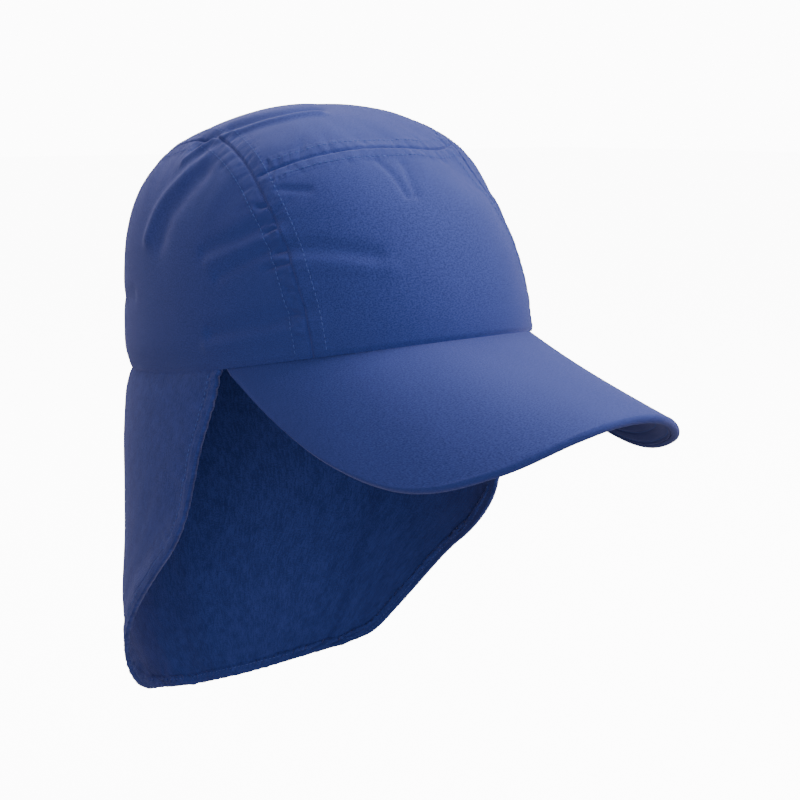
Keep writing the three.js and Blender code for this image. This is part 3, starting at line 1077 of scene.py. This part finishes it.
def crossStitchPath(offset):
    shares = np.linspace(-0.87, 0.87, 260)
    turn = crossTurn(shares) + math.degrees(offset / crown["height"])
    return dressed(stripDirections(crossX(shares), turn), stitch["lift"])


crownPaths = []
for side, sign in (("right", -1), ("left", 1)):
    for offset in (-seams["bandWidth"], seams["bandWidth"]):
        crownPaths.append(seamStitchPath(side, sign, offset))
crownPaths += [crossStitchPath(-seams["crossBand"]), crossStitchPath(seams["crossBand"])]
stitchRow(crownPaths, "crownStitches")


def hemPath(inside):
    # down one side, along the bottom and up the other side, a stitch line's distance from the edge
    steps = 240
    hemAcross = flap["hemStitch"] / flap["hemLength"]
    hemDown = flap["hemStitch"] / flap["drop"]
    run = np.linspace(0, 1, steps)
    near, far = np.full(steps, hemAcross), np.full(steps, 1 - hemAcross)
    share = np.concatenate([near, hemAcross + (1 - 2 * hemAcross) * run, far])[1:]
    foot = 1 - hemDown
    depth = np.concatenate([run * foot, np.full(steps, foot), run[::-1] * foot])[1:]
    points = flapPoints(share, depth)
    normals = flapNormals(share, depth)
    height, _ = flapRelief(points, share, depth)
    if inside:
        return points + normals * (height - flap["cloth"] - flap["hemFold"])[:, None], -normals
    return points + normals * (height + stitch["lift"])[:, None], normals


stitchRow([hemPath(False), hemPath(True)], "hemStitches")


def underPath(index):
    # one row of stitches under the peak, where it is long enough for that row
    shortest, sunk = 0.012, 0.0003
    share = np.linspace(0.1, 0.9, 240)
    _, _, down, reach = peakFrames(share)
    length = liningRow(index, reach)
    keep = length > shortest
    depth = np.full_like(length, peak["board"] + crown["seamGap"] + peak["lining"] - sunk)
    points = peakPoints(share, length, depth)
    return points[keep], tilted(down)[keep]


underPaths = [underPath(index) for index in range(peak["rowsUnder"])]
stitchRow(underPaths, "peakStitches")

print("stage")
stage = {
    "floor": -0.26,
    "size": 12,
    "pale": (0.95, 0.95, 0.95),
    "glow": 11,
    "room": 0.27,
    "backdrop": 12,
}


def paleMaterial():
    material = bpy.data.materials.new("paleFloor")
    material.use_nodes = True
    shader = material.node_tree.nodes["Principled BSDF"]
    shader.inputs["Base Color"].default_value = (*stage["pale"], 1)
    shader.inputs["Roughness"].default_value = 0.9
    shader.inputs["Emission Color"].default_value = (1, 1, 1, 1)
    shader.inputs["Emission Strength"].default_value = stage["glow"]
    return material


bm = bmesh.new()
level = Matrix.Translation((0, 0, stage["floor"]))
bmesh.ops.create_grid(bm, x_segments=1, y_segments=1, size=stage["size"], matrix=level)
mesh = bpy.data.meshes.new("floor")
bm.to_mesh(mesh)
bm.free()
floor = bpy.data.objects.new("floor", mesh)
bpy.context.scene.collection.objects.link(floor)
mesh.materials.append(paleMaterial())
floor.visible_diffuse = False
floor.visible_glossy = False

view = {
    "azimuth": -38.08,
    "elevation": 11.24,
    "distance": 0.63,
    "lens": 64.24,
    "right": 0.0342,
    "up": -0.022,
}


def wayTo(azimuth, elevation):
    # the direction at an azimuth and elevation in degrees, azimuth 0 to the front
    a, e = math.radians(azimuth), math.radians(elevation)
    return Vector((math.sin(a) * math.cos(e), -math.cos(a) * math.cos(e), math.sin(e)))


def aimed(data, name, location, target):
    thing = bpy.data.objects.new(name, data)
    thing.location = location
    thing.rotation_euler = (Vector(target) - Vector(location)).to_track_quat("-Z", "Y").to_euler()
    bpy.context.scene.collection.objects.link(thing)
    return thing


back = wayTo(view["azimuth"], view["elevation"])
right = wayTo(view["azimuth"] + 90, 0)
target = right * view["right"] + Vector((0, 0, view["up"]))
cameraData = bpy.data.cameras.new("camera")
cameraData.lens = view["lens"]
cameraData.sensor_width = 36
camera = aimed(cameraData, "camera", target + back * view["distance"], target)
bpy.context.scene.camera = camera

lightRows = [
    {"name": "keySoftbox", "azimuth": 58, "elevation": 44, "distance": 1.5, "size": 1.0, "power": 31},
    {"name": "topSoftbox", "azimuth": 160, "elevation": 62, "distance": 1.5, "size": 1.2, "power": 18},
    {"name": "leftFill", "azimuth": -118, "elevation": 18, "distance": 1.6, "size": 1.2, "power": 2},
    {"name": "frontFill", "azimuth": -32, "elevation": 4, "distance": 2.0, "size": 1.6, "power": 25},
]
for row in lightRows:
    data = bpy.data.lights.new(row["name"], "AREA")
    data.size = row["size"]
    data.energy = row["power"]
    aimed(data, row["name"], wayTo(row["azimuth"], row["elevation"]) * row["distance"], (0, 0, 0))

world = bpy.data.worlds.new("paleRoom")
world.use_nodes = True
room = world.node_tree
# a soft room lights the cap, and the camera sees a bright backdrop in its place
soft = room.nodes["Background"]
soft.inputs["Color"].default_value = (0.95, 0.97, 1, 1)
soft.inputs["Strength"].default_value = stage["room"]
bright = room.nodes.new("ShaderNodeBackground")
bright.inputs["Color"].default_value = (1, 1, 1, 1)
bright.inputs["Strength"].default_value = stage["backdrop"]
path = room.nodes.new("ShaderNodeLightPath")
either = room.nodes.new("ShaderNodeMixShader")
room.links.new(path.outputs["Is Camera Ray"], either.inputs[0])
room.links.new(soft.outputs[0], either.inputs[1])
room.links.new(bright.outputs[0], either.inputs[2])
room.links.new(either.outputs[0], room.nodes["World Output"].inputs[0])
bpy.context.scene.world = world
